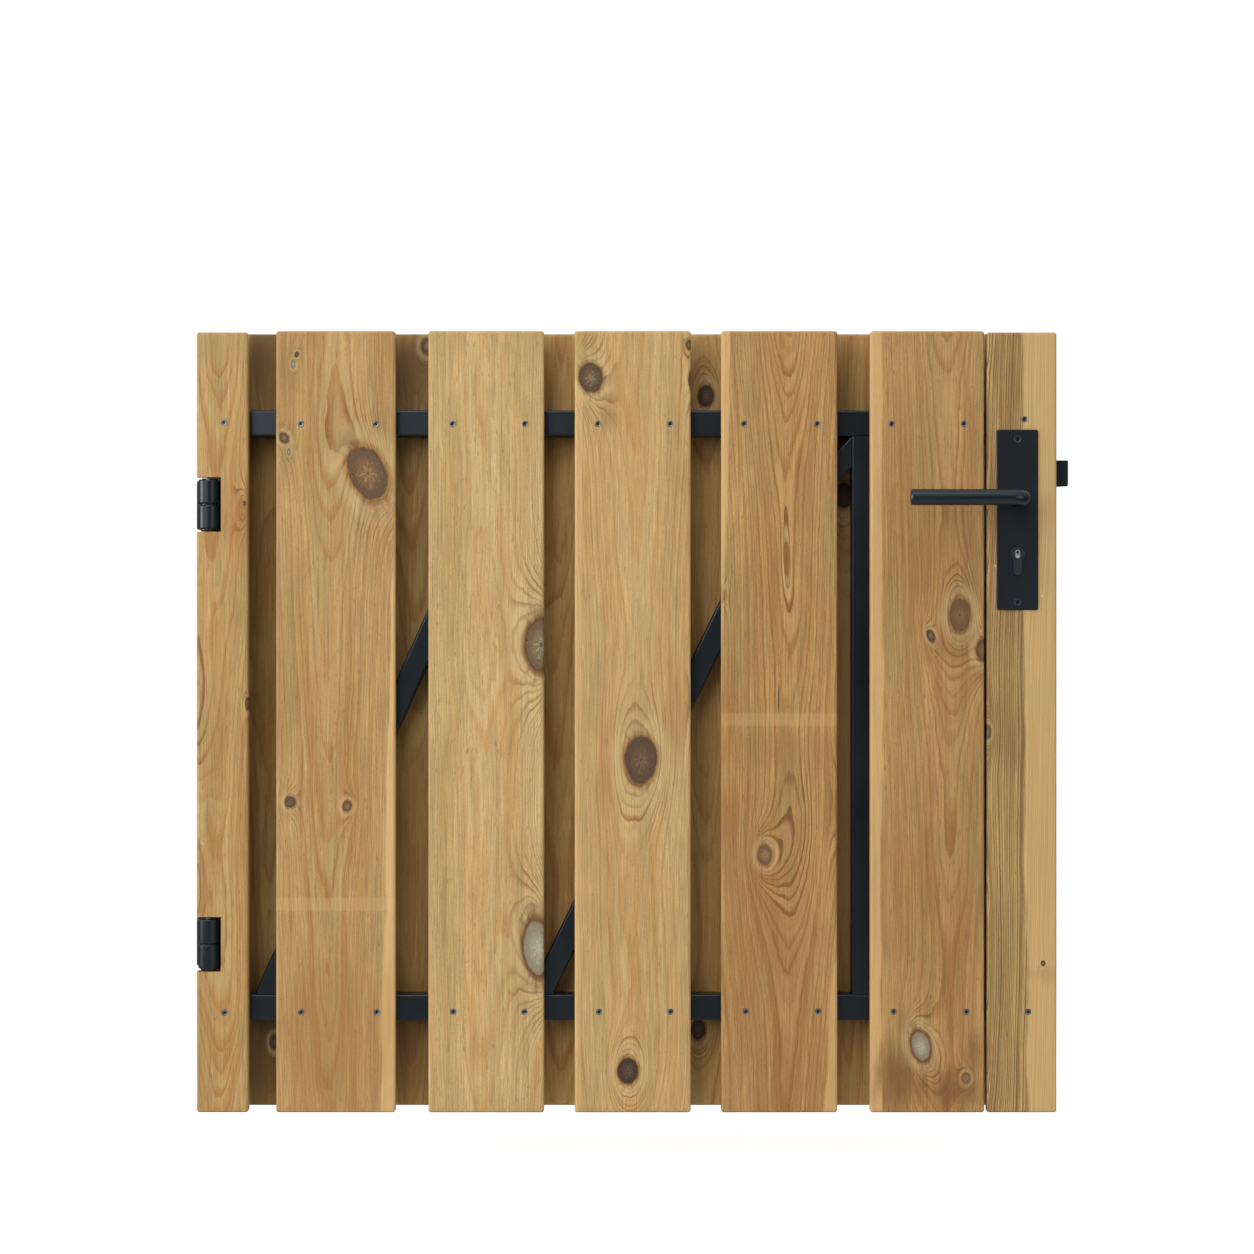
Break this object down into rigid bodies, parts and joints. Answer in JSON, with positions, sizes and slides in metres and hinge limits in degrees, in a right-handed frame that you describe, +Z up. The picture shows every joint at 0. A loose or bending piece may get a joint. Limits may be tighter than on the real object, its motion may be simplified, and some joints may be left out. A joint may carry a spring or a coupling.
{
  "type": "steel-framed garden door",
  "caption": "Garden door of upright pine boards on both sides of a black square-tube frame with diagonal braces, barrel hinges, lever handles, a sprung latch and a cylinder lock.",
  "frame": {"origin": "centre of the lower hinge's post plate, on the face that meets the post", "axes": "+Z up; +X from the hinge side to the lock side; -Y towards the front with the framed gaps, the side the door opens to"},
  "size_m": [1.0112, 0.1864, 0.901],
  "materials": {
    "pine": "planed, oiled",
    "black_frame_steel": "black powder coat, satin",
    "black_fitting_steel": "black powder coat, satin",
    "bare_steel": "zinc plated",
    "nickel_plug": "satin nickel"
  },
  "bodies": {
    "post_side": {"lower_hinge_post_half": "black_fitting_steel", "upper_hinge_post_half": "black_fitting_steel", "lower_hinge_pin": "bare_steel", "upper_hinge_pin": "bare_steel", "lower_hinge_washer": "bare_steel", "upper_hinge_washer": "bare_steel"},
    "door_leaf": {"front_board_1": "pine", "front_board_2": "pine", "front_board_3": "pine", "front_board_4": "pine", "front_board_5": "pine", "front_board_6": "pine", "front_board_7": "pine", "back_board_1": "pine", "back_board_2": "pine", "back_board_3": "pine", "back_board_4": "pine", "back_board_5": "pine", "back_board_6": "pine", "hinge_stile": "black_frame_steel", "lock_stile": "black_frame_steel", "inner_stile": "black_frame_steel", "top_rail": "black_frame_steel", "bottom_rail": "black_frame_steel", "long_brace_left": "black_frame_steel", "long_brace_right": "black_frame_steel", "corner_brace": "black_frame_steel", "upper_hinge_door_half": "black_fitting_steel", "lower_hinge_door_half": "black_fitting_steel", "lock_case": "bare_steel", "lock_faceplate": "bare_steel", "deadbolt": "bare_steel", "front_lock_plate": "black_fitting_steel", "back_lock_plate": "black_fitting_steel", "lock_cylinder": "black_fitting_steel", "front_key_plug": "nickel_plug", "back_key_plug": "nickel_plug"},
    "lever_set": {"front_lever": "black_fitting_steel", "back_lever": "black_fitting_steel", "lever_spindle": "bare_steel"},
    "latch": {"latch_bolt": "black_fitting_steel"}
  },
  "joints": [
    {"name": "door_swing", "type": "hinge", "parent": "post_side", "child": "door_leaf", "pos_m": [0.01675, -0.042, 0], "axis": [0, 0, -1], "range_deg": [0, 110]},
    {"name": "lever_turn", "type": "hinge", "parent": "door_leaf", "child": "lever_set", "pos_m": [0.949, -0.018, 0.5125], "axis": [0, -1, 0], "range_deg": [0, 45], "stiffness_Nm_per_rad": 1.2, "springref_deg": -45.84},
    {"name": "latch_slide", "type": "slide", "parent": "door_leaf", "child": "latch", "axis": [-1, 0, 0], "range_m": [0, 0.0165]}
  ],
  "couplings": [
    {"joint": "latch_slide", "follows": "lever_turn", "m_per_rad": 0.0205}
  ]
}
